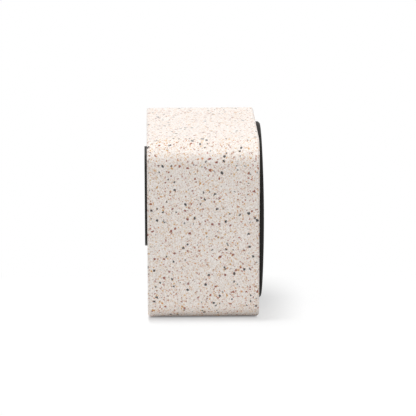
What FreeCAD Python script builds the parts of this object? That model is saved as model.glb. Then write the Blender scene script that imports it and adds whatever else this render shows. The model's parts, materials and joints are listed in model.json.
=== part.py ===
import FreeCAD, Part
import math
import os

# A small wireless loudspeaker: a one-piece speckled cabinet with a round domed grille on its
# front and a dark control panel on its back. Millimetres, +Z up, front towards -Y. The origin
# is on the floor under the middle of the whole object.

# Cabinet casting
CABINET_WIDTH = 120.0
CABINET_HEIGHT = 120.0
CABINET_DEPTH = 72.5
CORNER_RADIUS = 15.0
EDGE_CHAMFER = 1.0
SIDE_WALL = 5.0
BACK_WALL = 5.0
FRONT_WALL = 10.0
CAVITY_RADIUS = 8.0

# Clearances
FIT_GAP = 0.3
GLUE_GAP = 0.1
SCREW_GAP = 0.1

# Rubber feet
FOOT_RADIUS = 5.5
FOOT_PROUD = 1.0
FOOT_SIDE_INSET = 7.0
FOOT_END_INSET = 14.0

# Grille: perforated dished sheet, acoustic cloth and the ring that carries them
GRILLE_MARGIN = 1.0
GRILLE_PROUD = 2.75
GRILLE_DOME = 2.0
GRILLE_SHEET = 1.0
GRILLE_EDGE = 1.0
SLOT_WIDTH = 3.0
SLOT_PITCH = 5.6
SLOT_SHORTEST = 6.0
MIDDLE_RIB = 4.0
SOLID_RIM = 6.5
CLOTH_THICKNESS = 0.3
RING_WIDTH = 4.5
PEG_SIDE = 3.0
PEG_LENGTH = 3.0
PEG_COUNT = 4

# Loudspeaker drive unit
DRIVER_MARGIN = 20.0
DRIVER_RECESS = 3.5
FRAME_THICKNESS = 2.0
FRAME_INSET = 3.0
SCREW_EDGE = 2.0
GASKET_WIDTH = 0.8
GASKET_THICKNESS = 0.5
DRIVER_SCREW_COUNT = 4
BASKET_WALL = 1.5
BASKET_WINDOWS = 4
WINDOW_ANGLE = 62.0
ROLL_RADIUS = 2.9
ROLL_SHEET = 0.5
ROLL_STEPS = 3
SURROUND_LIP = 2.5
CONE_DEPTH = 7.5
CONE_PAPER = 0.6
CAP_RADIUS = 14.5
CAP_HEIGHT = 3.6
CAP_EDGE = 0.4
CAP_FLAT = 7.0
COIL_RADIUS = 12.5
FORMER_WALL = 0.3
WINDING_WALL = 0.7
WINDING_LENGTH = 7.0
SPIDER_DEPTH = 3.5
SPIDER_WIDTH = 12.5
SPIDER_SHEET = 0.5
SHELF_WIDTH = 5.0
NECK_DEPTH = 5.0
AIR_GAP = 0.7
POLE_GAP = 0.5
POLE_THICKNESS = 3.5
MAGNET_HEIGHT = 6.0
MAGNET_INSET = 0.8
CUP_WALL = 2.8
CUP_FLOOR = 3.0
TERMINAL_WIDTH = 10.0
TERMINAL_HEIGHT = 4.0
TERMINAL_SHEET = 1.0
TAG_WIDTH = 2.8
TAG_SHEET = 0.6
TAG_LENGTH = 5.0

# Rear control panel
PANEL_WIDTH = 40.0
PANEL_HEIGHT = 62.0
PANEL_RADIUS = 8.0
PANEL_RISE = 10.0
PANEL_PROUD = 1.65
PANEL_PLATE = 2.5
PANEL_EDGE = 0.3
PANEL_FLANGE = 3.0
SPIGOT_WALL = 1.6
SEAL_WIDTH = 1.6
SEAL_THICKNESS = 1.0
HOOK_REACH = 0.9
HOOK_DEPTH = 1.8
HOOK_LENGTH = 8.0
HOOK_GAP = 0.2
HOOK_SPREAD = 12.0

# Push buttons and their switches
KEY_RADIUS = 4.6
KEY_LIP = 0.8
KEY_FLANGE = 1.0
KEY_STEM_SIDE = 3.0
KEY_STEM = 1.2
KEY_TRAVEL = 0.6
KEY_STOP_GAP = 0.15
KEY_SIDE_GAP = 0.6
KEY_TOP_GAP = 13.9
KEY_ROW_PITCH = 15.0
SWITCH_SIDE = 6.0
SWITCH_HEIGHT = 3.0
PLUNGER_SIDE = 3.0
PLUNGER_HEIGHT = 0.8

# Panel light, charging socket and control board
LIGHT_SIDE = 2.0
LIGHT_EDGE = 4.0
USB_WIDTH = 8.94
USB_HEIGHT = 3.26
USB_WALL = 0.3
USB_EDGE = 8.0
USB_RECESS = 1.0
USB_RECESS_MARGIN = 1.7
TONGUE_WIDTH = 6.7
TONGUE_THICKNESS = 0.7
TONGUE_SETBACK = 1.2
TONGUE_BASE = 2.0
BOARD_SHEET = 1.2
BOARD_MARGIN = 1.0
BOARD_RADIUS = 2.0
CLIP_WIDTH = 8.0
CLIP_BARB = 0.7
CLIP_NOSE = 1.2
MODULE_WIDTH = 18.0
MODULE_HEIGHT = 14.0
MODULE_DEPTH = 2.4
MODULE_DROP = 12.0
CHIP_SIDE = 7.0
CHIP_DEPTH = 1.2
CHIP_RISE = 5.0
CAPACITOR_SIDE = 8.0
CAPACITOR_DEPTH = 7.5
CAPACITOR_RISE = 17.0
CAPACITOR_SPREAD = 7.0
CONNECTOR_WIDTH = 8.0
CONNECTOR_HEIGHT = 5.0
CONNECTOR_DEPTH = 6.0
CONNECTOR_DROP = 22.0
CONNECTOR_SPREAD = 7.0

# Battery
BATTERY_LENGTH = 60.0
BATTERY_DEPTH = 38.0
BATTERY_HEIGHT = 14.0
BATTERY_ROUND = 2.0
BATTERY_FROM_BACK = 9.0
PAD_THICKNESS = 1.5
PAD_INSET = 3.0

# Screws of the drive unit
HEAD_ACROSS = 3.2
HEAD_HEIGHT = 1.1
SHANK_RADIUS = 0.95
SCREW_BITE = 3.0
PILOT_SPARE = 0.4

# A length far below any real one, for telling points and planes apart
TINY = 0.001

# Planes and axes that the pieces share
overall_depth = PANEL_PROUD + CABINET_DEPTH + GRILLE_PROUD + GRILLE_DOME
back_y = overall_depth / 2 - PANEL_PROUD
front_y = back_y - CABINET_DEPTH
cabinet_base = FOOT_PROUD
axis_z = cabinet_base + CABINET_HEIGHT / 2
floor_z = cabinet_base + SIDE_WALL

# Radii of the round front
face_radius = min(CABINET_WIDTH, CABINET_HEIGHT) / 2
grille_radius = face_radius - GRILLE_MARGIN
ring_radius = grille_radius - GRILLE_SHEET - FIT_GAP
peg_circle = ring_radius - RING_WIDTH / 2
opening_radius = face_radius - DRIVER_MARGIN
pilot_radius = SHANK_RADIUS + SCREW_GAP
gasket_radius = opening_radius + GLUE_GAP + GASKET_WIDTH
screw_circle = gasket_radius + GLUE_GAP + pilot_radius
frame_radius = screw_circle + SCREW_EDGE
frame_inner = opening_radius - FRAME_INSET
roll_center = frame_inner - ROLL_RADIUS
cone_radius = roll_center - ROLL_RADIUS

# Radii of the drive unit's motor
former_radius = COIL_RADIUS + FORMER_WALL
winding_radius = former_radius + WINDING_WALL
cup_inner = winding_radius + AIR_GAP
cup_radius = cup_inner + CUP_WALL
pole_radius = COIL_RADIUS - POLE_GAP
spider_radius = former_radius + FIT_GAP + SPIDER_WIDTH
shelf_radius = spider_radius + GLUE_GAP
neck_radius = shelf_radius - SHELF_WIDTH
cone_neck_radius = former_radius + GLUE_GAP

# Depths behind the cabinet's front face
frame_back = DRIVER_RECESS + FRAME_THICKNESS
seat_depth = frame_back + GASKET_THICKNESS
cone_edge = DRIVER_RECESS + FIT_GAP
cone_neck = cone_edge + CONE_DEPTH
spider_plane = cone_neck + SPIDER_DEPTH
shelf_front = spider_plane + SPIDER_SHEET
shelf_back = shelf_front + BASKET_WALL
plate_front = shelf_back + NECK_DEPTH
cup_front = plate_front + BASKET_WALL
pole_front = cup_front + POLE_GAP
pole_back = pole_front + POLE_THICKNESS
cup_floor = pole_back + MAGNET_HEIGHT
cup_back = cup_floor + CUP_FLOOR

# Depths in from the cabinet's back face
plate_outer = -PANEL_PROUD
plate_inner = plate_outer + PANEL_PLATE
key_flange_outer = plate_inner + KEY_STOP_GAP
key_flange_inner = key_flange_outer + KEY_FLANGE
stem_end = key_flange_inner + KEY_STEM
plunger_tip = stem_end + KEY_TRAVEL + KEY_STOP_GAP
switch_top = plunger_tip + PLUNGER_HEIGHT
board_outer = switch_top + SWITCH_HEIGHT
board_inner = board_outer + BOARD_SHEET
usb_mouth = plate_outer + USB_RECESS

# Places on the rear panel, measured from its centre
panel_z = axis_z + PANEL_RISE
spigot_width = PANEL_WIDTH - 2 * PANEL_FLANGE
spigot_height = PANEL_HEIGHT - 2 * PANEL_FLANGE
spigot_corner = PANEL_RADIUS - PANEL_FLANGE
inside_half_width = spigot_width / 2 - SPIGOT_WALL
inside_half_height = spigot_height / 2 - SPIGOT_WALL
board_half_height = spigot_height / 2 - BOARD_MARGIN
key_flange_half = KEY_RADIUS + KEY_LIP
key_x = inside_half_width - key_flange_half - KEY_SIDE_GAP
upper_key_z = inside_half_height - KEY_TOP_GAP
lower_key_z = upper_key_z - KEY_ROW_PITCH
light_z = inside_half_height - LIGHT_EDGE
usb_z = USB_EDGE - inside_half_height
key_places = {
    "power": (key_x, upper_key_z),
    "pair": (-key_x, upper_key_z),
    "plus": (-key_x, lower_key_z),
    "minus": (key_x, lower_key_z),
}

# Middle of the battery
battery_y = back_y - BATTERY_FROM_BACK - BATTERY_DEPTH / 2


def vec(x, y, z):
    return FreeCAD.Vector(x, y, z)


BACKWARD = vec(0, 1, 0)
SIDEWAYS = vec(1, 0, 0)
drive_axis = vec(0, front_y, axis_z)


def rod(radius, y_start, y_end, x, z):
    """Round bar along Y between two planes."""
    low = min(y_start, y_end)
    return Part.makeCylinder(radius, abs(y_end - y_start), vec(x, low, z), BACKWARD)


def block(x_span, y_span, z_span):
    """Box between pairs of planes, given in either order."""
    low = vec(min(x_span), min(y_span), min(z_span))
    high = vec(max(x_span), max(y_span), max(z_span))
    size = high - low
    return Part.makeBox(size.x, size.y, size.z, low)


def square_bar(side, y_start, y_end, x, z):
    """Square bar along Y between two planes."""
    half = side / 2
    return block((x - half, x + half), (y_start, y_end), (z - half, z + half))


def extruded(edges, y_start, y_end):
    """Prism along Y on an outline drawn in the plane y = 0."""
    face = Part.Face(Part.Wire(edges))
    face.translate(vec(0, y_start, 0))
    return face.extrude(vec(0, y_end - y_start, 0))


def rounded_outline(width, height, radius, x, z):
    """Rounded rectangle in the plane y = 0, or a stadium where the radius is half the height."""
    reach = radius * math.sqrt(0.5)
    half_w = width / 2 - radius
    half_h = height / 2 - radius
    edges = []
    ends = []
    corners = [(1, 1), (-1, 1), (-1, -1), (1, -1)]
    for turn, (side, level) in enumerate(corners):
        corner_x = x + side * half_w
        corner_z = z + level * half_h
        on_side = vec(corner_x + side * radius, 0, corner_z)
        on_level = vec(corner_x, 0, corner_z + level * radius)
        middle = vec(corner_x + side * reach, 0, corner_z + level * reach)
        first, last = (on_side, on_level) if turn % 2 == 0 else (on_level, on_side)
        edges.append(Part.Arc(first, middle, last).toShape())
        ends.append((first, last))
    for turn in range(len(corners)):
        start = ends[turn][1]
        stop = ends[(turn + 1) % len(corners)][0]
        if start.distanceToPoint(stop) > TINY:
            edges.append(Part.LineSegment(start, stop).toShape())
    return Part.sortEdges(edges)[0]


def rounded_prism(width, height, radius, y_start, y_end, x, z):
    return extruded(rounded_outline(width, height, radius, x, z), y_start, y_end)


def turned(outline):
    """Solid of revolution about the drive unit's axis.

    The outline is a list of points (radius, depth behind the cabinet's front face).
    """
    points = [vec(radius, depth, 0) for radius, depth in outline + outline[:1]]
    face = Part.Face(Part.makePolygon(points))
    solid = face.revolve(vec(0, 0, 0), BACKWARD, 360)
    solid.translate(drive_axis)
    return solid


def washer(outer, inner, depth_start, depth_end):
    """Flat ring about the drive unit's axis, between two depths behind the front face."""
    whole = rod(outer, front_y + depth_start, front_y + depth_end, 0, axis_z)
    hole = rod(inner, front_y + depth_start, front_y + depth_end, 0, axis_z)
    return whole.cut(hole)


def domed_rod(radius, rim_radius, rise, rim_depth, end_depth):
    """Bar about the drive unit's axis whose front end is part of a sphere.

    The sphere passes through a circle of rim_radius at rim_depth, and its crown lies rise in
    front of that circle.
    """
    sphere_radius = (rim_radius ** 2 + rise ** 2) / (2 * rise)
    crown = rim_depth - rise
    middle = vec(0, front_y + crown + sphere_radius, axis_z)
    sphere = Part.makeSphere(sphere_radius, middle, SIDEWAYS)
    return rod(radius, front_y + crown, front_y + end_depth, 0, axis_z).common(sphere)


def around(radius, count, first_degrees):
    """Points spaced evenly on a circle about the drive unit's axis, as (x, z)."""
    places = []
    for index in range(count):
        angle = math.radians(first_degrees + index * 360 / count)
        places.append((radius * math.cos(angle), axis_z + radius * math.sin(angle)))
    return places


driver_screw_places = around(screw_circle, DRIVER_SCREW_COUNT, 45)
peg_places = around(peg_circle, PEG_COUNT, 45)


def foot_places():
    """Centres of the feet under the cabinet, as (x, y) by name."""
    x = CABINET_WIDTH / 2 - CORNER_RADIUS - FOOT_SIDE_INSET
    front = front_y + FOOT_END_INSET
    back = back_y - FOOT_END_INSET
    return {
        "front_left": (-x, front),
        "front_right": (x, front),
        "back_left": (-x, back),
        "back_right": (x, back),
    }


def panel_window(grow, depth):
    """Prism through the back wall that clears the panel's spigot by a margin."""
    return rounded_prism(
        spigot_width + 2 * grow, spigot_height + 2 * grow, spigot_corner + grow,
        back_y - depth, back_y, 0, panel_z)


def make_cabinet():
    """Hollow one-piece body with a stepped round front opening and a rear window."""
    body = rounded_prism(CABINET_WIDTH, CABINET_HEIGHT, CORNER_RADIUS, front_y, back_y, 0, axis_z)
    rims = [edge for edge in body.Edges if edge.BoundBox.YLength < TINY]
    body = body.makeChamfer(EDGE_CHAMFER, rims)
    seat_y = front_y + seat_depth
    cuts = [
        rounded_prism(
            CABINET_WIDTH - 2 * SIDE_WALL, CABINET_HEIGHT - 2 * SIDE_WALL, CAVITY_RADIUS,
            front_y + FRONT_WALL, back_y - BACK_WALL, 0, axis_z),
        rod(frame_radius + FIT_GAP, front_y, seat_y, 0, axis_z),
        rod(opening_radius, front_y, front_y + FRONT_WALL, 0, axis_z),
        panel_window(FIT_GAP, BACK_WALL),
        panel_window(FIT_GAP + SEAL_WIDTH, SEAL_THICKNESS),
    ]
    for x, z in driver_screw_places:
        cuts.append(rod(pilot_radius, seat_y, seat_y + SCREW_BITE + PILOT_SPARE, x, z))
    for x, z in peg_places:
        socket = PEG_SIDE + 2 * GLUE_GAP
        cuts.append(square_bar(socket, front_y, front_y + PEG_LENGTH + PILOT_SPARE, x, z))
    return body.cut(cuts)


def make_foot(x, y):
    """Rubber disc stuck under the cabinet."""
    return Part.makeCylinder(FOOT_RADIUS, FOOT_PROUD, vec(x, y, 0))


def slot_spans():
    """Spans (x, z) of the grille's upright slots, in two rows inside its solid rim."""
    reach = grille_radius - SOLID_RIM
    columns = int(reach / SLOT_PITCH)
    spans = []
    for column in range(-columns, columns + 1):
        x = column * SLOT_PITCH
        far_side = abs(x) + SLOT_WIDTH / 2
        start = MIDDLE_RIB / 2
        end = math.sqrt(max(reach ** 2 - far_side ** 2, 0))
        if end - start >= SLOT_SHORTEST:
            x_span = (x - SLOT_WIDTH / 2, x + SLOT_WIDTH / 2)
            for level in (-1, 1):
                spans.append((x_span, (axis_z + level * start, axis_z + level * end)))
    return spans


def make_grille():
    """Dished steel sheet with a turned-back skirt and a field of upright slots."""
    outside = domed_rod(grille_radius, grille_radius, GRILLE_DOME, -GRILLE_PROUD, 0)
    rim_y = front_y - GRILLE_PROUD
    rim = [edge for edge in outside.Edges
           if abs(edge.BoundBox.Center.y - rim_y) < TINY and edge.BoundBox.XLength > grille_radius]
    outside = outside.makeChamfer(GRILLE_EDGE, rim)
    inside = domed_rod(
        grille_radius - GRILLE_SHEET, grille_radius, GRILLE_DOME, GRILLE_SHEET - GRILLE_PROUD, 0)
    crown_y = front_y - GRILLE_PROUD - GRILLE_DOME
    slots = [block(x_span, (crown_y, front_y), z_span) for x_span, z_span in slot_spans()]
    return outside.cut([inside] + slots)


def ring_thickness():
    return GRILLE_PROUD - GRILLE_SHEET - CLOTH_THICKNESS - GLUE_GAP


def make_grille_cloth():
    """Acoustic cloth stretched over the front of the carrier ring."""
    ring_front = front_y - ring_thickness()
    return rod(ring_radius, ring_front - CLOTH_THICKNESS, ring_front, 0, axis_z)


def make_grille_ring():
    """Carrier ring inside the grille's skirt, with pegs that press into the cabinet."""
    ring = washer(ring_radius, ring_radius - RING_WIDTH, -ring_thickness(), 0)
    pegs = [square_bar(PEG_SIDE, front_y, front_y + PEG_LENGTH, x, z) for x, z in peg_places]
    return ring.fuse(pegs)


def sector_prism(inner, outer, middle_degrees, spread_degrees, depth_start, depth_end):
    """Prism on a ring sector about the drive unit's axis."""
    angles = [math.radians(middle_degrees + share * spread_degrees / 2) for share in (-1, 0, 1)]

    def point(radius, angle):
        return vec(radius * math.cos(angle), 0, axis_z + radius * math.sin(angle))

    outer_points = [point(outer, angle) for angle in angles]
    inner_points = [point(inner, angle) for angle in reversed(angles)]
    edges = [
        Part.Arc(*outer_points).toShape(),
        Part.LineSegment(outer_points[-1], inner_points[0]).toShape(),
        Part.Arc(*inner_points).toShape(),
        Part.LineSegment(inner_points[-1], outer_points[0]).toShape(),
    ]
    return extruded(edges, front_y + depth_start, front_y + depth_end)


def make_driver_basket():
    """Pressed steel frame: flange, windowed cone, spider shelf and the plate behind it."""
    mouth = opening_radius - FIT_GAP
    frame = turned([
        (frame_radius, DRIVER_RECESS),
        (frame_radius, frame_back),
        (mouth, frame_back),
        (shelf_radius + BASKET_WALL, shelf_back),
        (neck_radius + BASKET_WALL, shelf_back),
        (neck_radius + BASKET_WALL, cup_front),
        (cup_inner, cup_front),
        (cup_inner, plate_front),
        (neck_radius, plate_front),
        (neck_radius, shelf_front),
        (shelf_radius, shelf_front),
        (frame_inner, frame_back),
        (frame_inner, DRIVER_RECESS),
    ])
    cuts = []
    for index in range(BASKET_WINDOWS):
        middle = index * 360 / BASKET_WINDOWS
        cuts.append(sector_prism(
            shelf_radius + 2 * BASKET_WALL, mouth - BASKET_WALL, middle, WINDOW_ANGLE,
            frame_back, shelf_back))
    for x, z in driver_screw_places:
        cuts.append(rod(pilot_radius, front_y, front_y + frame_back, x, z))
    return frame.cut(cuts)


def make_driver_gasket():
    """Foam bead between the frame's flange and the cabinet, inside the screws."""
    return washer(gasket_radius, opening_radius + GLUE_GAP, frame_back, seat_depth)


def hexagon_bar(across, y_start, y_end, x, z):
    """Six-sided bar along Y between two planes, given the distance across its flats."""
    corner = across / math.sqrt(3)
    angles = [math.radians(60 * turn) for turn in range(7)]
    points = [vec(x + corner * math.cos(angle), 0, z + corner * math.sin(angle)) for angle in angles]
    return extruded(Part.makePolygon(points).Edges, y_start, y_end)


def make_driver_screws():
    seat_y = front_y + DRIVER_RECESS
    end_y = front_y + seat_depth + SCREW_BITE
    screws = []
    for x, z in driver_screw_places:
        head = hexagon_bar(HEAD_ACROSS, seat_y - HEAD_HEIGHT, seat_y, x, z)
        shank = rod(SHANK_RADIUS, seat_y, end_y, x, z)
        screws.append(head.fuse(shank))
    return Part.makeCompound(screws)


def half_roll(radius, depth):
    """Points over a half roll from its outer foot to its inner foot."""
    points = []
    for step in range(ROLL_STEPS + 1):
        angle = math.pi * step / ROLL_STEPS
        points.append((roll_center + radius * math.cos(angle), depth - radius * math.sin(angle)))
    return points


def make_surround():
    """Rubber roll between the frame's flange and the cone's edge, flat behind."""
    front = DRIVER_RECESS - ROLL_SHEET
    outer_lip = frame_inner + SURROUND_LIP
    inner_lip = cone_radius - SURROUND_LIP
    return turned(
        [(outer_lip, DRIVER_RECESS), (outer_lip, front)]
        + half_roll(ROLL_RADIUS, front)
        + [(inner_lip, front), (inner_lip, DRIVER_RECESS)])


def make_cone():
    front = [(cone_radius, cone_edge), (cone_neck_radius, cone_neck)]
    back = [(radius, depth + CONE_PAPER) for radius, depth in reversed(front)]
    return turned(front + back)


def make_dust_cap():
    """Shallow cap over the voice coil, glued to the cone."""
    share = (cone_radius - CAP_RADIUS) / (cone_radius - cone_neck_radius)
    rim_back = cone_edge + share * CONE_DEPTH - GLUE_GAP
    rim_front = rim_back - CAP_EDGE
    crown = rim_front - CAP_HEIGHT
    return turned([
        (0, rim_back),
        (CAP_RADIUS, rim_back),
        (CAP_RADIUS, rim_front),
        (CAP_FLAT, crown),
        (0, crown),
    ])


def make_voice_coil():
    """Thin former with its winding in the motor's gap."""
    coil_middle = (pole_front + pole_back) / 2
    coil_front = coil_middle - WINDING_LENGTH / 2
    coil_back = coil_middle + WINDING_LENGTH / 2
    return turned([
        (COIL_RADIUS, cone_neck),
        (former_radius, cone_neck),
        (former_radius, coil_front),
        (winding_radius, coil_front),
        (winding_radius, coil_back),
        (COIL_RADIUS, coil_back),
    ])


def make_spider():
    """Flat cloth ring that centres the voice coil."""
    return washer(
        spider_radius, former_radius + FIT_GAP, spider_plane, spider_plane + SPIDER_SHEET)


def make_pole_plate():
    return rod(pole_radius, front_y + pole_front, front_y + pole_back, 0, axis_z)


def make_magnet():
    return rod(pole_radius - MAGNET_INSET, front_y + pole_back, front_y + cup_floor, 0, axis_z)


def make_motor_cup():
    """Steel pot that closes the magnet's circuit round the voice coil."""
    pot = rod(cup_radius, front_y + cup_front, front_y + cup_back, 0, axis_z)
    return pot.cut(rod(cup_inner, front_y + cup_front, front_y + cup_floor, 0, axis_z))


def make_driver_terminal():
    """Strip with two solder tags on the back of the spider shelf."""
    low = axis_z + neck_radius + BASKET_WALL + GLUE_GAP
    strip_y = front_y + shelf_back
    tag_y = strip_y + TERMINAL_SHEET
    tag_z = low + TERMINAL_HEIGHT / 2
    half = TERMINAL_WIDTH / 2
    strip = block((-half, half), (strip_y, tag_y), (low, low + TERMINAL_HEIGHT))
    tags = []
    for side in (-1, 1):
        center = side * half / 2
        tags.append(block(
            (center - TAG_WIDTH / 2, center + TAG_WIDTH / 2),
            (tag_y, tag_y + TAG_LENGTH),
            (tag_z - TAG_SHEET / 2, tag_z + TAG_SHEET / 2)))
    return strip.fuse(tags)


def hook(side, z):
    """Snap hook on the panel's spigot, behind the cabinet's back wall."""
    root = side * (spigot_width / 2 - SPIGOT_WALL / 2)
    skin = side * spigot_width / 2
    tip = side * (spigot_width / 2 + HOOK_REACH)
    catch_y = back_y - BACK_WALL - HOOK_GAP
    nose_y = catch_y - HOOK_DEPTH
    low = z - HOOK_LENGTH / 2
    outline = [(root, catch_y), (tip, catch_y), (skin, nose_y), (root, nose_y), (root, catch_y)]
    points = [vec(x, y, low) for x, y in outline]
    return Part.Face(Part.makePolygon(points)).extrude(vec(0, 0, HOOK_LENGTH))


def board_clip(level):
    """Barbed clip on the spigot's end that holds an edge of the control board."""
    skin = spigot_height / 2
    stem = board_half_height + FIT_GAP
    barb = board_half_height - CLIP_BARB
    root_y = back_y - board_outer
    catch_y = back_y - board_inner - GLUE_GAP
    nose_y = catch_y - CLIP_NOSE
    outline = [
        (skin, root_y), (skin, nose_y), (stem, nose_y), (barb, catch_y), (stem, catch_y),
        (stem, root_y), (skin, root_y),
    ]
    points = [vec(-CLIP_WIDTH / 2, y, panel_z + level * z) for z, y in outline]
    return Part.Face(Part.makePolygon(points)).extrude(vec(CLIP_WIDTH, 0, 0))


def socket_bar(margin, depth_start, depth_end):
    """Round-ended bar about the charging socket, larger than its shell by a margin."""
    width = USB_WIDTH + 2 * margin
    height = USB_HEIGHT + 2 * margin
    return rounded_prism(
        width, height, height / 2, back_y - depth_end, back_y - depth_start, 0, panel_z + usb_z)


def make_rear_panel():
    """Proud plate with a snap-in spigot, button holes, board clips and the charging recess."""
    face_y = back_y - plate_outer
    plate = rounded_prism(PANEL_WIDTH, PANEL_HEIGHT, PANEL_RADIUS, back_y, face_y, 0, panel_z)
    rim = [edge for edge in plate.Edges if edge.BoundBox.YMin > face_y - TINY]
    plate = plate.makeChamfer(PANEL_EDGE, rim)
    inside = rounded_prism(
        2 * inside_half_width, 2 * inside_half_height, spigot_corner - SPIGOT_WALL,
        back_y - board_outer, back_y - plate_inner, 0, panel_z)
    added = [panel_window(0, board_outer).cut(inside)]
    for level in (-1, 1):
        added.append(board_clip(level))
        for side in (-1, 1):
            added.append(hook(side, panel_z + level * HOOK_SPREAD))
    cuts = [
        square_bar(LIGHT_SIDE + 2 * GLUE_GAP, back_y - plate_inner, face_y, 0, panel_z + light_z),
        socket_bar(USB_RECESS_MARGIN, plate_outer, usb_mouth),
        socket_bar(FIT_GAP, plate_outer, plate_inner),
    ]
    for x, z in key_places.values():
        cuts.append(rod(KEY_RADIUS + FIT_GAP, back_y - plate_inner, face_y, x, panel_z + z))
    return plate.fuse(added).cut(cuts)


def make_panel_seal():
    """Foam ring in the rebate under the panel's flange."""
    outer = panel_window(FIT_GAP + SEAL_WIDTH - GLUE_GAP, SEAL_THICKNESS)
    return outer.cut(panel_window(GLUE_GAP, SEAL_THICKNESS))


def make_button(x, z):
    """Flush round key with a square retaining flange and stem."""
    middle = panel_z + z
    cap = rod(KEY_RADIUS, back_y - key_flange_outer, back_y - plate_outer, x, middle)
    flange = square_bar(
        2 * key_flange_half, back_y - key_flange_inner, back_y - key_flange_outer, x, middle)
    stem = square_bar(KEY_STEM_SIDE, back_y - stem_end, back_y - key_flange_inner, x, middle)
    return cap.fuse([flange, stem])


def make_switch(x, z):
    """Tactile switch on the control board, with its plunger towards the key."""
    middle = panel_z + z
    case = square_bar(SWITCH_SIDE, back_y - board_outer, back_y - switch_top, x, middle)
    plunger = square_bar(PLUNGER_SIDE, back_y - switch_top, back_y - plunger_tip, x, middle)
    return case.fuse(plunger)


def make_status_light():
    """Light pipe from the control board to the panel's face."""
    return square_bar(LIGHT_SIDE, back_y - board_outer, back_y - plate_outer, 0, panel_z + light_z)


def make_usb_shell():
    """Upright charging socket: a round-ended steel tube standing on the control board."""
    tube = socket_bar(0, usb_mouth, board_outer)
    return tube.cut(socket_bar(-USB_WALL, usb_mouth, board_outer))


def make_usb_tongue():
    base_top = board_outer - TONGUE_BASE
    base = socket_bar(-USB_WALL - GLUE_GAP, base_top, board_outer)
    middle = panel_z + usb_z
    tongue = block(
        (-TONGUE_WIDTH / 2, TONGUE_WIDTH / 2),
        (back_y - base_top, back_y - usb_mouth - TONGUE_SETBACK),
        (middle - TONGUE_THICKNESS / 2, middle + TONGUE_THICKNESS / 2))
    return base.fuse(tongue)


def make_control_board():
    return rounded_prism(
        spigot_width - 2 * BOARD_MARGIN, 2 * board_half_height, BOARD_RADIUS,
        back_y - board_inner, back_y - board_outer, 0, panel_z)


def on_board(x, z, width, height, depth):
    """Block standing on the control board's inner face."""
    surface = back_y - board_inner
    middle = panel_z + z
    return block(
        (x - width / 2, x + width / 2),
        (surface - depth, surface),
        (middle - height / 2, middle + height / 2))


def make_wireless_module():
    return on_board(0, -MODULE_DROP, MODULE_WIDTH, MODULE_HEIGHT, MODULE_DEPTH)


def make_amplifier_chip():
    return on_board(0, CHIP_RISE, CHIP_SIDE, CHIP_SIDE, CHIP_DEPTH)


def make_filter_capacitors():
    return Part.makeCompound(
        [on_board(
            side * CAPACITOR_SPREAD, CAPACITOR_RISE, CAPACITOR_SIDE, CAPACITOR_SIDE, CAPACITOR_DEPTH)
         for side in (-1, 1)])


def make_board_connectors():
    return Part.makeCompound(
        [on_board(
            side * CONNECTOR_SPREAD, -CONNECTOR_DROP, CONNECTOR_WIDTH, CONNECTOR_HEIGHT, CONNECTOR_DEPTH)
         for side in (-1, 1)])


def make_battery_pack():
    """Wrapped flat pack with rounded long edges."""
    half = BATTERY_DEPTH / 2
    bottom = floor_z + PAD_THICKNESS
    return rounded_prism(
        BATTERY_LENGTH, BATTERY_HEIGHT, BATTERY_ROUND,
        battery_y - half, battery_y + half, 0, bottom + BATTERY_HEIGHT / 2)


def make_battery_pad():
    """Sticky foam between the battery and the cabinet's floor."""
    half_x = BATTERY_LENGTH / 2 - PAD_INSET
    half_y = BATTERY_DEPTH / 2 - PAD_INSET
    return block(
        (-half_x, half_x),
        (battery_y - half_y, battery_y + half_y),
        (floor_z, floor_z + PAD_THICKNESS))


def make_all():
    """Every piece of the loudspeaker, by node name."""
    pieces = {
        "cabinet": make_cabinet(),
        "grille": make_grille(),
        "grille_cloth": make_grille_cloth(),
        "grille_ring": make_grille_ring(),
        "driver_basket": make_driver_basket(),
        "driver_gasket": make_driver_gasket(),
        "driver_screws": make_driver_screws(),
        "surround": make_surround(),
        "cone": make_cone(),
        "dust_cap": make_dust_cap(),
        "voice_coil": make_voice_coil(),
        "spider": make_spider(),
        "pole_plate": make_pole_plate(),
        "magnet": make_magnet(),
        "motor_cup": make_motor_cup(),
        "driver_terminal": make_driver_terminal(),
        "rear_panel": make_rear_panel(),
        "panel_seal": make_panel_seal(),
        "status_light": make_status_light(),
        "usb_shell": make_usb_shell(),
        "usb_tongue": make_usb_tongue(),
        "control_board": make_control_board(),
        "wireless_module": make_wireless_module(),
        "amplifier_chip": make_amplifier_chip(),
        "filter_capacitors": make_filter_capacitors(),
        "board_connectors": make_board_connectors(),
        "battery_pack": make_battery_pack(),
        "battery_pad": make_battery_pad(),
    }
    for name, (x, y) in foot_places().items():
        pieces["foot_" + name] = make_foot(x, y)
    for name, (x, z) in key_places.items():
        pieces["button_" + name] = make_button(x, z)
        pieces["switch_" + name] = make_switch(x, z)
    return pieces


os.makedirs("parts", exist_ok=True)
for node, shape in make_all().items():
    shape.exportStep("parts/" + node + ".step")
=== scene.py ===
import json
import math

import bmesh
import bpy
from mathutils import Matrix, Vector


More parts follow.
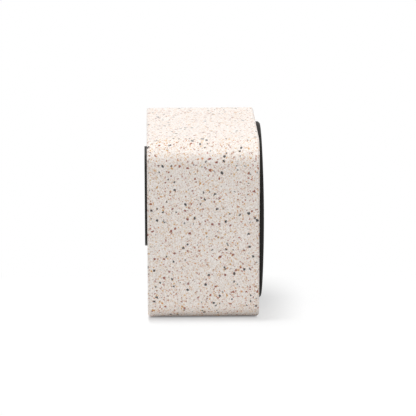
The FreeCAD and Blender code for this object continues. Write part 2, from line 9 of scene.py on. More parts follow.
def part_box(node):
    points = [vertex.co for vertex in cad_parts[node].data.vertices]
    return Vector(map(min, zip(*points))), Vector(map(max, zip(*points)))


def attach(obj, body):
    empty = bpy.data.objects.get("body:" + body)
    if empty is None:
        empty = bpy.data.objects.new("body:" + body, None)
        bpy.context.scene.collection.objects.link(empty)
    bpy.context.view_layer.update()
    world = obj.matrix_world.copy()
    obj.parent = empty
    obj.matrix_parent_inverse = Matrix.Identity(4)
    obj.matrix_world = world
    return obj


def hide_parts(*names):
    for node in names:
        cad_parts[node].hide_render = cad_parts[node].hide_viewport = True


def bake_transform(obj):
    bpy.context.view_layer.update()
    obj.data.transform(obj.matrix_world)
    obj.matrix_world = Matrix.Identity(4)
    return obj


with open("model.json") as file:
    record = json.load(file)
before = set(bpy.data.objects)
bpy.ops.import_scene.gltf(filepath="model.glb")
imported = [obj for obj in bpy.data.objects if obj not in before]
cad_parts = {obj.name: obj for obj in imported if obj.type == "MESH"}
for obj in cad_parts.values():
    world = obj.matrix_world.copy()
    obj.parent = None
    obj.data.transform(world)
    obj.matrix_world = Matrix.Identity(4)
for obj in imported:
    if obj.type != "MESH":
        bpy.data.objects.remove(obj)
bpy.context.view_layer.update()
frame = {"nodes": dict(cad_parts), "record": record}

# Lengths are in millimetres and angles in degrees unless a comment says otherwise.
# MM is one millimetre in metres.
MM = 0.001

# Most values of a noise texture lie between these two.
NOISE_RANGE = (0.3, 0.7)


# Node helpers

class Shader:
    """A material with its Principled shader and short calls for the nodes that feed it."""

    def __init__(self, name, color, roughness, metallic=0.0, specular=0.5):
        self.name = name
        self.material = bpy.data.materials.new(name)
        self.material.use_nodes = True
        self.tree = self.material.node_tree
        self.principled = self.tree.nodes["Principled BSDF"]
        self.put(self.principled.inputs["Base Color"], color)
        self.set("Roughness", roughness)
        self.set("Metallic", metallic)
        self.set("Specular IOR Level", specular)

    def set(self, socket, value):
        self.principled.inputs[socket].default_value = value

    def node(self, kind, **settings):
        made = self.tree.nodes.new(kind)
        for key, value in settings.items():
            setattr(made, key, value)
        return made

    def link(self, output, target):
        self.tree.links.new(output, target)

    def feed(self, socket, output):
        self.link(output, self.principled.inputs[socket])

    def put(self, target, value):
        """Links an output to a socket, or sets a plain colour or number on it."""
        if isinstance(value, bpy.types.NodeSocket):
            self.link(value, target)
        elif isinstance(value, tuple):
            target.default_value = (*value, 1.0)
        else:
            target.default_value = value

    def millimetres(self):
        """The object's own coordinates in millimetres."""
        coordinates = self.node("ShaderNodeTexCoord")
        scaled = self.node("ShaderNodeVectorMath", operation="SCALE")
        self.link(coordinates.outputs["Object"], scaled.inputs[0])
        scaled.inputs["Scale"].default_value = 1 / MM
        return scaled.outputs[0]

    def turned(self, vector, degrees):
        """Coordinates turned so that a pattern's lattice lies aslant of the object's faces."""
        made = self.node("ShaderNodeMapping")
        self.link(vector, made.inputs["Vector"])
        made.inputs["Rotation"].default_value = [math.radians(angle) for angle in degrees]
        return made.outputs["Vector"]

    def axes(self, vector):
        """The three parts of a vector."""
        split = self.node("ShaderNodeSeparateXYZ")
        self.link(vector, split.inputs[0])
        return split.outputs

    def noise(self, vector, size, detail=2.0, roughness=0.5):
        """Noise whose features are about size millimetres across."""
        made = self.node("ShaderNodeTexNoise")
        self.link(vector, made.inputs["Vector"])
        made.inputs["Scale"].default_value = 1 / size
        made.inputs["Detail"].default_value = detail
        made.inputs["Roughness"].default_value = roughness
        return made

    def math(self, operation, a, b=0.0):
        made = self.node("ShaderNodeMath", operation=operation)
        self.put(made.inputs[0], a)
        self.put(made.inputs[1], b)
        return made.outputs[0]

    def span(self, value, low, high, to_low, to_high, interpolation="LINEAR"):
        """A value carried from one range over to another, and held at its ends."""
        made = self.node("ShaderNodeMapRange", interpolation_type=interpolation)
        self.put(made.inputs["Value"], value)
        self.put(made.inputs["From Min"], low)
        self.put(made.inputs["From Max"], high)
        self.put(made.inputs["To Min"], to_low)
        self.put(made.inputs["To Max"], to_high)
        return made.outputs["Result"]

    def mix(self, share, a, b):
        made = self.node("ShaderNodeMix", data_type="RGBA")
        self.put(made.inputs["Factor"], share)
        self.put(made.inputs["A"], a)
        self.put(made.inputs["B"], b)
        return made.outputs["Result"]

    def ramp(self, value, stops, interpolation="LINEAR"):
        made = self.node("ShaderNodeValToRGB")
        made.color_ramp.interpolation = interpolation
        while len(made.color_ramp.elements) < len(stops):
            made.color_ramp.elements.new(0.5)
        for element, (place, color) in zip(made.color_ramp.elements, stops):
            element.position = place
            element.color = (*color, 1.0)
        self.link(value, made.inputs["Fac"])
        return made.outputs["Color"]

    def drift(self, noise, tones, between=NOISE_RANGE):
        """Colour that wanders from the first of two tones to the second with a noise."""
        return self.ramp(noise.outputs["Fac"], list(zip(between, tones)))

    def gloss(self, noise, levels):
        """Roughness that wanders between two levels with a noise."""
        return self.span(noise.outputs["Fac"], *NOISE_RANGE, *levels)

    def bump(self, height, distance, strength, normal=None):
        made = self.node("ShaderNodeBump")
        made.inputs["Distance"].default_value = distance * MM
        made.inputs["Strength"].default_value = strength
        self.link(height, made.inputs["Height"])
        if normal is not None:
            self.link(normal, made.inputs["Normal"])
        return made.outputs["Normal"]


def tinted(color, shares):
    """A colour made darker or lighter, once for each share."""
    return [tuple(part * share for part in color) for share in shares]


def strayed(middle, steps):
    """A value moved by each of some steps."""
    return [middle + step for step in steps]


# Speckled composite of the cabinet

LATTICE_TURN = (35, 20, 50)
RAGGED_SIZE = 1.6
RAGGED_REACH = 1.9
CLOUD_SIZE = 14.0
CLOUD_TONES = ((0.855, 0.80, 0.755), (0.885, 0.835, 0.795))
FLOUR_SIZE = 0.9
FLOUR_RANGE = (0.36, 0.66)
FLOUR_SHARE = 0.58
FLOUR_COLOR = (0.53, 0.45, 0.39)
GRAIN_EDGE = 0.07
GRAIN_POLISH = 0.08
BASE_ROUGHNESS = (0.56, 0.68)
COAT_ROUGHNESS = 0.36
COAT_IOR = 1.6
SKIN_SIZE = 1.6
SKIN_DEPTH = 0.03
EDGE_WEAR = 1.2
EDGE_SAMPLES = 6

# Fine, middle and coarse grains: the spacing of the places that can hold a grain, the share of them
# that do, the reach of the smallest and the largest grain, the strength of the faintest, and the
# colours, each from its place on a scale of chance onwards.
GRAIN_LAYERS = [
    (1.0, 0.88, (0.28, 0.6), 0.6, [
        (0.0, (0.58, 0.33, 0.10)), (0.26, (0.34, 0.28, 0.24)), (0.31, (0.58, 0.27, 0.09)),
        (0.48, (0.46, 0.19, 0.11)), (0.74, (0.92, 0.90, 0.88)), (0.86, (0.62, 0.375, 0.10))]),
    (1.7, 0.7, (0.4, 0.95), 0.7, [
        (0.0, (0.58, 0.325, 0.095)), (0.22, (0.56, 0.24, 0.06)), (0.36, (0.36, 0.10, 0.05)),
        (0.66, (0.17, 0.165, 0.165)), (0.70, (0.62, 0.385, 0.13)), (0.84, (0.32, 0.14, 0.07))]),
    (2.7, 0.43, (0.7, 1.45), 0.95, [
        (0.0, (0.011, 0.009, 0.009)), (0.32, (0.21, 0.030, 0.006)), (0.60, (0.28, 0.065, 0.016)),
        (0.78, (0.05, 0.030, 0.022)), (0.86, (0.52, 0.27, 0.06))]),
]


def grains(shader, place, cell, share, radii, colors):
    """Mask, colour and chance of crushed stone grains, scattered in space and cut by the surface."""
    cells = shader.node("ShaderNodeTexVoronoi", feature="F1", distance="MANHATTAN")
    shader.link(place, cells.inputs["Vector"])
    cells.inputs["Scale"].default_value = 1 / cell
    split = shader.node("ShaderNodeSeparateColor")
    shader.link(cells.outputs["Color"], split.inputs["Color"])
    chance = split.outputs["Red"]
    radius = shader.span(chance, 1 - share, 1, radii[0] / cell, radii[1] / cell)
    inside = shader.math("SUBTRACT", radius, cells.outputs["Distance"])
    edge = GRAIN_EDGE / cell
    mask = shader.span(inside, -edge, edge, 0, 1, "SMOOTHSTEP")
    mask = shader.math("MULTIPLY", mask, shader.math("GREATER_THAN", chance, 1 - share))
    color = shader.ramp(split.outputs["Green"], colors, "CONSTANT")
    return mask, color, split.outputs["Blue"]


def terrazzo():
    """Off-white mineral composite with charcoal, brick, brown and ochre grains."""
    shader = Shader("speckled_composite", CLOUD_TONES[0], BASE_ROUGHNESS[0], specular=0.15)
    place = shader.turned(shader.millimetres(), LATTICE_TURN)
    wobble = shader.noise(place, RAGGED_SIZE, roughness=0.6)
    offset = shader.node("ShaderNodeVectorMath", operation="MULTIPLY_ADD")
    shader.link(wobble.outputs["Color"], offset.inputs[0])
    offset.inputs[1].default_value = (RAGGED_REACH, RAGGED_REACH, RAGGED_REACH)
    shader.link(place, offset.inputs[2])
    ragged = offset.outputs[0]

    base = shader.drift(shader.noise(place, CLOUD_SIZE), CLOUD_TONES)
    flour = shader.noise(place, FLOUR_SIZE, roughness=0.6)
    dusting = shader.span(flour.outputs["Fac"], *FLOUR_RANGE, 0, FLOUR_SHARE)
    color = shader.mix(dusting, base, FLOUR_COLOR)

    masks = []
    for cell, share, radii, weakest, colors in GRAIN_LAYERS:
        mask, grain_color, chance = grains(shader, ragged, cell, share, radii, colors)
        strength = shader.math("MULTIPLY", mask, shader.span(chance, 0, 1, weakest, 1))
        color = shader.mix(strength, color, grain_color)
        masks.append(mask)
    shader.feed("Base Color", color)

    on_grain = masks[0]
    for mask in masks[1:]:
        on_grain = shader.math("MAXIMUM", on_grain, mask)
    polish = shader.math("MULTIPLY", on_grain, GRAIN_POLISH)
    shader.feed("Roughness", shader.math("SUBTRACT", shader.gloss(flour, BASE_ROUGHNESS), polish))
    shader.set("Coat Weight", 1.0)
    shader.set("Coat Roughness", COAT_ROUGHNESS)
    shader.set("Coat IOR", COAT_IOR)
    skin = shader.noise(place, SKIN_SIZE, detail=3.0, roughness=0.6)
    worn = shader.node("ShaderNodeBevel", samples=EDGE_SAMPLES)
    worn.inputs["Radius"].default_value = EDGE_WEAR * MM
    worn_normal = worn.outputs["Normal"]
    shader.feed("Normal", shader.bump(skin.outputs["Fac"], SKIN_DEPTH, strength=0.5, normal=worn_normal))
    shader.feed("Coat Normal", worn_normal)
    return shader


# Other materials

# TONES are the darkest and the lightest tone of a surface as shares of its colour, SHADE_TONES are such
# tones laid on by a surface's relief as painted shade in its hollows, and STRAY is how far its roughness
# strays down and up.
COATED_CLOUD = 9.0
COATED_TONES = (0.88, 1.12)
COATED_STRAY = (-0.04, 0.05)
METAL_CLOUD = 5.0
METAL_TONES = (0.9, 1.05)
METAL_STRAY = (-0.06, 0.1)
METAL_SCRATCH = 0.01
CLOTH_THREAD = 1.2
SPIDER_THREAD = 0.6
WEAVE_SHADE_TONES = (0.55, 1.25)
WEAVE_RANGE = (-0.8, 1.2)
WEAVE_DEPTH = 0.12
FUZZ_SIZE = 0.7
FUZZ_SHARE = 0.5
PIT_SHADE_TONES = (0.75, 1.2)
PIT_RANGE = (0.25, 0.75)
PIT_STRAY = (-0.05, 0.05)
PIT_DEPTH = 0.06
WIRE_PITCH = 0.28
WIRE_SHADE_TONES = (0.55, 1.0)
WIRE_DEPTH = 0.05
HAZE_SIZE = 0.8
HAZE_TONES = (0.92, 1.06)
HAZE_REACH = 1.0


def coated(name, color, roughness, grain, depth, specular=0.5):
    """Paint or moulded plastic: fine grain in the surface, slight drift in tone and gloss."""
    shader = Shader(name, color, roughness, specular=specular)
    place = shader.millimetres()
    shader.feed("Base Color", shader.drift(shader.noise(place, COATED_CLOUD), tinted(color, COATED_TONES)))
    fine = shader.noise(place, grain, roughness=0.6)
    shader.feed("Roughness", shader.gloss(fine, strayed(roughness, COATED_STRAY)))
    shader.feed("Normal", shader.bump(fine.outputs["Fac"], depth, strength=0.6))
    return shader


def metal(name, color, roughness, grain):
    """Plain worked metal with fine scratches and uneven gloss."""
    shader = Shader(name, color, roughness, metallic=1.0)
    place = shader.millimetres()
    cloud = shader.noise(place, METAL_CLOUD, detail=3.0)
    shader.feed("Base Color", shader.drift(cloud, tinted(color, METAL_TONES)))
    fine = shader.noise(place, grain, detail=3.0, roughness=0.7)
    shader.feed("Roughness", shader.gloss(fine, strayed(roughness, METAL_STRAY)))
    shader.feed("Normal", shader.bump(fine.outputs["Fac"], METAL_SCRATCH, strength=0.4))
    return shader


def woven(name, color, roughness, pitch):
    """Cloth woven of two sets of threads in the object's X and Z directions, with painted shade between
    the threads.
    """
    shader = Shader(name, color, roughness, specular=0.2)
    place = shader.millimetres()
    axes = shader.axes(place)
    turn = math.pi / pitch
    warp = shader.math("SINE", shader.math("MULTIPLY", axes["X"], turn))
    weft = shader.math("SINE", shader.math("MULTIPLY", axes["Z"], turn))
    threads = shader.math("MULTIPLY", warp, weft)
    fuzz = shader.noise(place, pitch * FUZZ_SIZE)
    height = shader.math("ADD", threads, shader.math("MULTIPLY", fuzz.outputs["Fac"], FUZZ_SHARE))
    raised = shader.span(height, *WEAVE_RANGE, 0, 1)
    # Painted shade: the colour follows the weave's relief, darker down between the threads and lighter on
    # their crests.
    shader.feed("Base Color", shader.mix(raised, *tinted(color, WEAVE_SHADE_TONES)))
    shader.feed("Normal", shader.bump(height, WEAVE_DEPTH, strength=0.8))
    shader.set("Sheen Weight", 0.25)
    return shader


def porous(name, color, roughness, pit):
    """Foam, paper or rubber: matt, with a pitted surface and painted shade that darkens the pits."""
    shader = Shader(name, color, roughness, specular=0.3)
    pits = shader.noise(shader.millimetres(), pit, detail=3.0, roughness=0.65)
    # Painted shade: the same noise as the bump makes the colour darker in the pits and lighter on the
    # rises.
    shader.feed("Base Color", shader.drift(pits, tinted(color, PIT_SHADE_TONES), between=PIT_RANGE))
    shader.feed("Roughness", shader.gloss(pits, strayed(roughness, PIT_STRAY)))
    shader.feed("Normal", shader.bump(pits.outputs["Fac"], pit * PIT_DEPTH, strength=0.6))
    return shader


def wound(name, color, roughness):
    """Fine copper wire lying in close turns along Y, with painted shade in the grooves between the turns.
    """
    shader = Shader(name, color, roughness, metallic=1.0)
    along = shader.axes(shader.millimetres())["Y"]
    turns = shader.math("SINE", shader.math("MULTIPLY", along, 2 * math.pi / WIRE_PITCH))
    raised = shader.span(turns, -1, 1, 0, 1)
    # Painted shade: darker in the grooves between the turns, full colour on their tops.
    shader.feed("Base Color", shader.mix(raised, *tinted(color, WIRE_SHADE_TONES)))
    shader.feed("Normal", shader.bump(turns, WIRE_DEPTH, strength=0.7))
    return shader


def milky(name, color, roughness):
    """Translucent light pipe, unlit."""
    shader = Shader(name, color, roughness)
    haze = shader.noise(shader.millimetres(), HAZE_SIZE)
    shader.feed("Base Color", shader.drift(haze, tinted(color, HAZE_TONES)))
    shader.set("Subsurface Weight", 0.3)
    reach = HAZE_REACH * MM
    shader.set("Subsurface Radius", (reach, reach, reach))
    return shader


materials = {shader.name: shader.material for shader in (
    terrazzo(),
    coated("grille_paint", (0.0150, 0.0135, 0.0125), 0.55, grain=0.35, depth=0.012, specular=0.1),
    woven("acoustic_cloth", (0.018, 0.018, 0.019), 0.9, pitch=CLOTH_THREAD),
    coated("dark_plastic", (0.016, 0.0155, 0.015), 0.55, grain=0.3, depth=0.012, specular=0.3),
    coated("key_plastic", (0.042, 0.041, 0.040), 0.42, grain=0.5, depth=0.006),
    coated("frame_paint", (0.02, 0.02, 0.021), 0.4, grain=0.5, depth=0.01),
    metal("bright_steel", (0.62, 0.62, 0.61), 0.3, grain=0.25),
    metal("magnet_alloy", (0.45, 0.45, 0.46), 0.25, grain=0.4),
    porous("soft_rubber", (0.025, 0.025, 0.025), 0.75, pit=0.5),
    porous("foam", (0.04, 0.04, 0.04), 0.95, pit=0.35),
    porous("cone_paper", (0.045, 0.043, 0.041), 0.8, pit=0.9),
    wound("copper", (0.75, 0.36, 0.18), 0.32),
    woven("spider_cloth", (0.48, 0.33, 0.14), 0.85, pitch=SPIDER_THREAD),
    metal("tag_metal", (0.72, 0.6, 0.36), 0.3, grain=0.3),
    milky("light_pipe", (0.78, 0.80, 0.80), 0.25),
    coated("socket_plastic", (0.02, 0.02, 0.02), 0.45, grain=0.3, depth=0.008),
    coated("board_laminate", (0.02, 0.14, 0.06), 0.35, grain=0.6, depth=0.01),
    coated("chip_plastic", (0.025, 0.025, 0.026), 0.55, grain=0.3, depth=0.01),
    coated("connector_plastic", (0.72, 0.68, 0.58), 0.45, grain=0.4, depth=0.01),
    coated("battery_wrap", (0.04, 0.13, 0.34), 0.3, grain=1.2, depth=0.02),
    coated("sign_print", (0.62, 0.61, 0.59), 0.5, grain=0.3, depth=0.004),
)}
for row in frame["record"]["subparts"]:
    node_materials = frame["nodes"][row["node"]].data.materials
    node_materials.clear()
    node_materials.append(materials[row["material_slot"]])


# Helpers for added pieces

ROUND_STEPS = 8
ARC_STEPS = 28


def mesh_object(name, bm, material):
    """Makes an object of a bmesh given in millimetres."""
    bmesh.ops.scale(bm, vec=(MM, MM, MM), verts=bm.verts)
    mesh = bpy.data.meshes.new(name)
    bm.to_mesh(mesh)
    bm.free()
    mesh.materials.append(material)
    made = bpy.data.objects.new(name, mesh)
    bpy.context.scene.collection.objects.link(made)
    return made


def piece(name, bm, slot, body=None):
    """Makes a piece of the object and puts it on its body, if it has only one."""
    bmesh.ops.recalc_face_normals(bm, faces=bm.faces)
    made = mesh_object(name, bm, materials[slot])
    if body is not None:
        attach(made, body)
    return made


def slab(bm, outline, y_low, y_high):
    """Flat plate between two planes of Y on an outline of (x, z) points."""
    low = [bm.verts.new((x, y_low, z)) for x, z in outline]
    high = [bm.verts.new((x, y_high, z)) for x, z in outline]
    bm.faces.new(low)
    bm.faces.new(list(reversed(high)))
    for index in range(len(outline)):
        after = (index + 1) % len(outline)
        bm.faces.new((low[after], low[index], high[index], high[after]))


def bar(x, z, width, height):
    """Outline of a bar with round ends about a point, longer way along X or Z."""
    upright = height > width
    reach = (max(width, height) - min(width, height)) / 2
    radius = min(width, height) / 2
    points = []
    for end in (1, -1):
        for step in range(ROUND_STEPS + 1):
            angle = math.pi * (step / ROUND_STEPS - end / 2)
            along = end * reach + radius * math.cos(angle)
            across = radius * math.sin(angle)
            points.append((x + across, z + along) if upright else (x + along, z + across))
    return points


def arc_band(x, z, radius, width, start, end):
    """Outline of a band on part of a circle, between two angles from +X."""
    angles = [math.radians(start + (end - start) * step / ARC_STEPS) for step in range(ARC_STEPS + 1)]
    outer, inner = (
        [(x + edge * math.cos(angle), z + edge * math.sin(angle)) for angle in angles]
        for edge in (radius + width / 2, radius - width / 2))
    return outer + list(reversed(inner))


# Signs printed on the keys

SIGN_LINE = 0.42
SIGN_RISE = 0.01
POWER_RADIUS = 1.5
POWER_DROP = 0.15
POWER_ARC = (125, 415)
STEM_LENGTH = 1.9
STEM_LIFT = 1.1
PAIR_BARS = ((-1.5, 1.0), (-0.5, 2.4), (0.5, 3.4), (1.5, 1.6))
STROKE_LENGTH = 3.2


def power_sign(x, z):
    """Ring open at its top, with a stem in the opening."""
    ring = arc_band(x, z - POWER_DROP, POWER_RADIUS, SIGN_LINE, *POWER_ARC)
    return [ring, bar(x, z + STEM_LIFT, SIGN_LINE, STEM_LENGTH)]


def pair_sign(x, z):
    """Row of upright bars of several heights."""
    return [bar(x + place, z, SIGN_LINE, height) for place, height in PAIR_BARS]


def plus_sign(x, z):
    """Level and upright stroke."""
    return [bar(x, z, STROKE_LENGTH, SIGN_LINE), bar(x, z, SIGN_LINE, STROKE_LENGTH)]


def minus_sign(x, z):
    """Level stroke."""
    return [bar(x, z, STROKE_LENGTH, SIGN_LINE)]


def sign(name, outlines):
    """Print on the middle of one key's face."""
    low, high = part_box("button_" + name)
    middle = (low + high) / 2 / MM
    face = high.y / MM
    bm = bmesh.new()
    for outline in outlines(middle.x, middle.z):
        slab(bm, outline, face - SIGN_RISE, face + SIGN_RISE)
    piece("sign_" + name, bm, "sign_print", name + "_key")


# Cloth behind the grille

# Relief as a share of the cloth's thickness, and the spacing of points on the rim that become one,
# as a share of the grid's step.
CLOTH_RELIEF = 0.25
RIM_MERGE = 1 / 3


def woven_disc(middle_z, radius, front, relief):
    """Front of the cloth: a grid in which every other crossing stands up, with its edge on the rim."""
    step = CLOTH_THREAD / 2
    reach = int(radius / step) + 1
    middle_row = round(middle_z / step)
    bm = bmesh.new()
    grid = {}
    for column in range(-reach, reach + 1):
        for row in range(middle_row - reach, middle_row + reach + 1):
            x = column * step
            z = row * step
            if math.hypot(x, z - middle_z) <= radius:
                crossing = math.sin(math.pi * column / 2) * math.sin(math.pi * row / 2)
                grid[column, row] = bm.verts.new((x, front + relief * (1 - crossing), z))
    for column, row in grid:
        corners = [(column, row), (column + 1, row), (column + 1, row + 1), (column, row + 1)]
        if all(corner in grid for corner in corners):
            bm.faces.new([grid[corner] for corner in corners]).smooth = True
    loose = [vert for vert in bm.verts if not vert.link_faces]
    bmesh.ops.delete(bm, geom=loose, context="VERTS")
    rim = [vert for vert in bm.verts if vert.is_boundary]
    for vert in rim:
        share = radius / math.hypot(vert.co.x, vert.co.z - middle_z)
        vert.co = (vert.co.x * share, front + relief, middle_z + (vert.co.z - middle_z) * share)
    bmesh.ops.remove_doubles(bm, verts=rim, dist=step * RIM_MERGE)
    return bm


def close_back(bm, middle_z, back):
    """Turns the round edge of a cloth straight back and closes it with a flat face."""
    rim = [vert for vert in bm.verts if vert.is_boundary]
    edges = [edge for edge in bm.edges if edge.is_boundary]
    behind = {vert: bm.verts.new((vert.co.x, back, vert.co.z)) for vert in rim}
    for edge in edges:
        start, end = edge.verts
        bm.faces.new((start, end, behind[end], behind[start])).smooth = True
    rim.sort(key=lambda vert: math.atan2(vert.co.z - middle_z, vert.co.x))
    bm.faces.new([behind[vert] for vert in rim])


def grille_cloth():
    """Acoustic cloth stretched flat over its ring."""
    low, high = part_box("grille_cloth")
    middle = (low + high) / 2 / MM
    radius = (high.x - low.x) / 2 / MM
    front = low.y / MM
    back = high.y / MM
    bm = woven_disc(middle.z, radius, front, (back - front) * CLOTH_RELIEF)
    close_back(bm, middle.z, back)
    cloth = piece("stretched_cloth", bm, "acoustic_cloth", "housing")
    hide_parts("grille_cloth")


# Contacts of the charging socket

CONTACT_COUNT = 12
CONTACT_PITCH = 0.5
CONTACT_WIDTH = 0.28
CONTACT_LENGTH = 3.2
CONTACT_SETBACK = 0.5
CONTACT_RISE = 0.04
TONGUE_THICKNESS = 0.7


def socket_contacts():
    """Contact strips along both faces of the charging socket's tongue."""
    low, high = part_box("usb_tongue")
    middle = (low + high) / 2 / MM
    tip = high.y / MM - CONTACT_SETBACK
    bm = bmesh.new()
    for side in (-1, 1):
        face = middle.z + side * TONGUE_THICKNESS / 2
        for index in range(CONTACT_COUNT):
            x = middle.x + (index - (CONTACT_COUNT - 1) / 2) * CONTACT_PITCH
            outline = [
                (x + across * CONTACT_WIDTH / 2, face + rise * CONTACT_RISE)
                for across, rise in ((-1, -1), (1, -1), (1, 1), (-1, 1))]
            slab(bm, outline, tip - CONTACT_LENGTH, tip)
    piece("socket_contacts", bm, "tag_metal", "housing")


# Rubber roll of the drive unit

SURROUND_SHEET = 0.5
SURROUND_LIP = 2.5
SURROUND_SECTORS = 16
SECTOR_STEPS = 4
ROLL_STEPS = 12
CREASE = 40


def surround_section(cone_radius, frame_radius, back):
    """Outline of the rubber skin from lip to lip over its half roll, as (radius, y) points."""
    middle = (frame_radius + cone_radius) / 2
    roll = (frame_radius - cone_radius) / 2
    hollow = roll - SURROUND_SHEET
    front = back - SURROUND_SHEET
    angles = [math.pi * step / ROLL_STEPS for step in range(ROLL_STEPS + 1)]
    over = [(middle + roll * math.cos(angle), front - roll * math.sin(angle)) for angle in angles]
    under = [(middle - hollow * math.cos(angle), front - hollow * math.sin(angle)) for angle in angles]
    inner_lip = cone_radius - SURROUND_LIP
    outer_lip = frame_radius + SURROUND_LIP
    return (
        [(outer_lip, front)] + over + [(inner_lip, front), (inner_lip, back), (middle - hollow, back)]
        + under + [(middle + hollow, back), (outer_lip, back)])


def outward(angle):
    """Direction from the drive unit's axis at an angle in radians from +X."""
    return Vector((math.cos(angle), 0, math.sin(angle)))


def sector_mesh(section, axis, heading, half):
    """Stretch of the roll that reaches half an angle to either side of its heading."""
    bm = bmesh.new()
    rows = []
    for step in range(SECTOR_STEPS + 1):
        across = outward(heading + half * (2 * step / SECTOR_STEPS - 1))
        rows.append([bm.verts.new(axis + across * radius + Vector((0, y, 0))) for radius, y in section])
    for row, after in zip(rows, rows[1:]):
        for place in range(len(section)):
            bm.faces.new((row[place - 1], row[place], after[place], after[place - 1])).smooth = True
    bm.faces.new(rows[0])
    bm.faces.new(rows[-1])
    return bm


def surround():
    """Rubber roll round the cone, made of sectors that each cover an equal share of the circle.
    """
    low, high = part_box("surround")
    center = (low + high) / 2
    frame_radius = (high.x - low.x) / 2 / MM - SURROUND_LIP
    cone_low, cone_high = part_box("cone")
    cone_radius = (cone_high.x - cone_low.x) / 2 / MM
    section = surround_section(cone_radius, frame_radius, high.y / MM)
    axis = center * Vector((1, 0, 1)) / MM
    half = math.pi / SURROUND_SECTORS
    for index in range(SURROUND_SECTORS):
        heading = 2 * half * index
        bm = sector_mesh(section, axis, heading, half)
        sector = piece("surround_sector_" + str(index + 1), bm, "soft_rubber")
        sector.data.set_sharp_from_angle(angle=math.radians(CREASE))
        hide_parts("surround")
        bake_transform(sector)


sign("power", power_sign)
sign("pair", pair_sign)
sign("plus", plus_sign)
sign("minus", minus_sign)
grille_cloth()
socket_contacts()
surround()


# Floor

FLOOR_REACH = 6000.0
FLOOR_CLOUD = 400.0
FLOOR_TONES = ((0.875, 0.875, 0.875), (0.885, 0.885, 0.885))
FLOOR_SEEN = (0.98, 0.98, 0.98)
FLOOR_ROUGHNESS = 0.9

# Share of the floor that shines by itself to the camera: none at the contact with the cabinet, more
# beside it and towards +X, all of it far away. The ranges are distances from the cabinet's outline,
# negative beneath it, apart from BACK_FADE, which is along X.
FLOOR_GLOW = 0.61
SIDE_GLOW = 0.85
SIDE_CONTACT = (-19.0, -9.5)
SIDE_FADE = (-10.0, 0.0)
END_CONTACT = (-4.0, 0.0)
BACK_FADE = (0.0, 55.0)
FAR_FADE = (200.0, 400.0)


def past_cabinet(shader, axes):
    """How far a place lies outside the cabinet's outline, along X and along Y."""
    low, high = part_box("cabinet")
    distances = []
    for axis in (0, 1):
        middle = (low[axis] + high[axis]) / 2 / MM
        half = (high[axis] - low[axis]) / 2 / MM
        away = shader.math("ABSOLUTE", shader.math("SUBTRACT", axes[axis], middle))
        distances.append(shader.math("SUBTRACT", away, half))
    return distances


def floor_glow(shader, place, to_camera, seen):
    """Share that shines by itself: near the cabinet to the camera, far away in reflections too."""
    axes = shader.axes(place)
    past_side, past_end = past_cabinet(shader, axes)
    side_clear = shader.span(past_side, *SIDE_CONTACT, 0, 1, "SMOOTHSTEP")
    end_clear = shader.span(past_end, *END_CONTACT, 0, 1, "SMOOTHSTEP")
    clear = shader.math("MAXIMUM", side_clear, end_clear)
    side_level = shader.span(past_side, *SIDE_FADE, FLOOR_GLOW, SIDE_GLOW, "SMOOTHSTEP")
    back_level = shader.span(axes["X"], *BACK_FADE, FLOOR_GLOW, 1)
    level = shader.math("MAXIMUM", side_level, back_level)
    near = shader.math("MULTIPLY", to_camera, shader.math("MULTIPLY", clear, level))
    past_both = shader.math("MAXIMUM", past_side, past_end)
    far = shader.math("MULTIPLY", seen, shader.span(past_both, *FAR_FADE, 0, 1, "SMOOTHSTEP"))
    return shader.math("MAXIMUM", near, far)


def floor_paint():
    """White paint, partly self-lit to the camera so that it stays white round a soft shadow."""
    shader = Shader("floor_paint", FLOOR_TONES[1], FLOOR_ROUGHNESS, specular=0.0)
    place = shader.millimetres()
    tone = shader.drift(shader.noise(place, FLOOR_CLOUD, detail=1.0), FLOOR_TONES)
    path = shader.node("ShaderNodeLightPath").outputs
    seen = shader.math("MAXIMUM", path["Is Camera Ray"], path["Is Glossy Ray"])
    seen = shader.math("MAXIMUM", seen, path["Is Transmission Ray"])
    shader.feed("Base Color", shader.mix(seen, tone, FLOOR_SEEN))
    glow = shader.node("ShaderNodeEmission")
    blend = shader.node("ShaderNodeMixShader")
    shader.link(floor_glow(shader, place, path["Is Camera Ray"], seen), blend.inputs["Fac"])
    shader.link(shader.principled.outputs["BSDF"], blend.inputs[1])
    shader.link(glow.outputs["Emission"], blend.inputs[2])
    shader.link(blend.outputs["Shader"], shader.tree.nodes["Material Output"].inputs["Surface"])
    return shader.material


def floor():
    """Level floor that the speaker stands on."""
    corners = ((-1, -1), (1, -1), (1, 1), (-1, 1))
    bm = bmesh.new()
    bm.faces.new([bm.verts.new((x * FLOOR_REACH, y * FLOOR_REACH, 0)) for x, y in corners])
    made = mesh_object("floor", bm, floor_paint())
    return made


# Light

AMBIENT = 0.24

# The lamps stand this far from a point in the middle of the cabinet, in metres.
LAMP_AIM = (0, 0, 0.06)
LAMP_DISTANCE = 2.65

# Name, lean from upright about X and Y, size in metres, power in watts, whether reflections show the
# lamp, and whether it lights the floor.
LAMPS = (
    ("key", (-6.9, -1.0), (0.8, 0.7), 54.0, False, True),
    ("front", (0.0, -35.0), (1.6, 0.9), 10.0, True, True),
    ("fill", (0.0, -60.0), (1.6, 1.6), 14.8, False, False),
    ("face", (78.0, 0.0), (1.0, 1.0), 5.0, True, False),
    ("rear", (-78.0, 0.0), (1.0, 1.0), 3.5, True, False),
    ("far", (0.0, 78.0), (1.0, 1.0), 4.0, False, False),
)


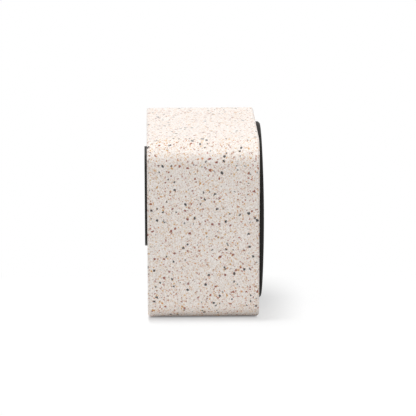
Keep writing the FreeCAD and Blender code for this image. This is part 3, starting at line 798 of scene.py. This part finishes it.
def studio_world():
    """Even ambient light, seen as white by the camera and in reflections."""
    world = bpy.data.worlds.new("studio")
    bpy.context.scene.world = world
    world.use_nodes = True
    tree = world.node_tree
    background = tree.nodes["Background"]
    background.inputs["Color"].default_value = (1.0, 1.0, 1.0, 1.0)
    path = tree.nodes.new("ShaderNodeLightPath")
    seen = path.outputs["Is Camera Ray"]
    for ray in ("Is Glossy Ray", "Is Transmission Ray"):
        either = tree.nodes.new("ShaderNodeMath")
        either.operation = "MAXIMUM"
        tree.links.new(seen, either.inputs[0])
        tree.links.new(path.outputs[ray], either.inputs[1])
        seen = either.outputs[0]
    level = tree.nodes.new("ShaderNodeMapRange")
    level.inputs["To Min"].default_value = AMBIENT
    level.inputs["To Max"].default_value = 1.0
    tree.links.new(seen, level.inputs["Value"])
    tree.links.new(level.outputs["Result"], background.inputs["Strength"])


def area_light(name, lean, size, power, mirrored):
    """Oval lamp that faces the cabinet."""
    data = bpy.data.lights.new(name, "AREA")
    data.shape = "ELLIPSE"
    data.size, data.size_y = size
    data.energy = power
    made = bpy.data.objects.new(name, data)
    bpy.context.scene.collection.objects.link(made)
    made.rotation_euler = (math.radians(lean[0]), math.radians(lean[1]), 0)
    made.location = Vector(LAMP_AIM) + made.rotation_euler.to_matrix() @ Vector((0, 0, LAMP_DISTANCE))
    made.visible_glossy = mirrored
    return made


def spare(lamp, unlit):
    """Keeps a lamp's light off one object."""
    skipped = bpy.data.collections.new("not_lit_by_" + lamp.name)
    skipped.objects.link(unlit)
    skipped.collection_objects[0].light_linking.link_state = "EXCLUDE"
    lamp.light_linking.receiver_collection = skipped


# Camera

# The shift is in widths of the frame.
CAMERA_AZIMUTH = 268.74
CAMERA_ELEVATION = 14.44
CAMERA_ROLL = -0.095
CAMERA_TARGET = (0.0, 1.58, 61.0)
CAMERA_DISTANCE = 1650.0
CAMERA_SENSOR = 36.0
CAMERA_LENS = 213.2
CAMERA_SHIFT = (0.0159, 0.0042)


def camera():
    """Camera at the photograph's viewing angle, distance and framing."""
    azimuth = math.radians(CAMERA_AZIMUTH)
    elevation = math.radians(CAMERA_ELEVATION)
    back = Vector((
        math.sin(azimuth) * math.cos(elevation),
        -math.cos(azimuth) * math.cos(elevation),
        math.sin(elevation)))
    data = bpy.data.cameras.new("camera")
    data.sensor_width = CAMERA_SENSOR
    data.lens = CAMERA_LENS
    data.shift_x, data.shift_y = CAMERA_SHIFT
    made = bpy.data.objects.new("camera", data)
    bpy.context.scene.collection.objects.link(made)
    place = (Vector(CAMERA_TARGET) + back * CAMERA_DISTANCE) * MM
    turn = (-back).to_track_quat("-Z", "Y").to_matrix().to_4x4()
    roll = Matrix.Rotation(math.radians(CAMERA_ROLL), 4, "Z")
    made.matrix_world = Matrix.Translation(place) @ turn @ roll
    bpy.context.scene.camera = made


ground = floor()
studio_world()
for name, lean, size, power, mirrored, lights_floor in LAMPS:
    lamp = area_light(name, lean, size, power, mirrored)
    if not lights_floor:
        spare(lamp, ground)
camera()
bpy.context.scene.view_settings.view_transform = "Standard"
